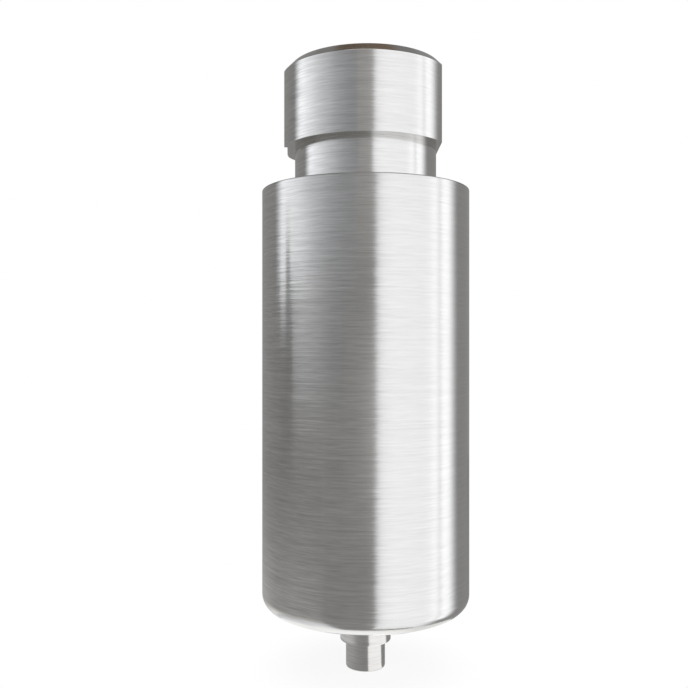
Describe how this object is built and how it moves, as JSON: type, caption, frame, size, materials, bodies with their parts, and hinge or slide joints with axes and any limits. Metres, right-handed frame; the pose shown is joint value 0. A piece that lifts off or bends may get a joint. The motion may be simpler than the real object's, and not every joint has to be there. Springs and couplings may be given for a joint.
{
  "type": "dental abutment",
  "caption": "Turned titanium dental abutment blank: clamping head and neck groove, plain milling body, implant connection pin below.",
  "frame": {"origin": "centre of the free end of the implant pin, on the turning axis", "axes": "+Z along the turning axis from the implant pin to the clamping head, +X towards the drive flat, -X towards the index slot"},
  "size_m": [0.01, 0.01, 0.029],
  "materials": {
    "titanium": "brushed"
  },
  "bodies": {
    "root": {"abutment_blank": "titanium"}
  },
  "joints": []
}
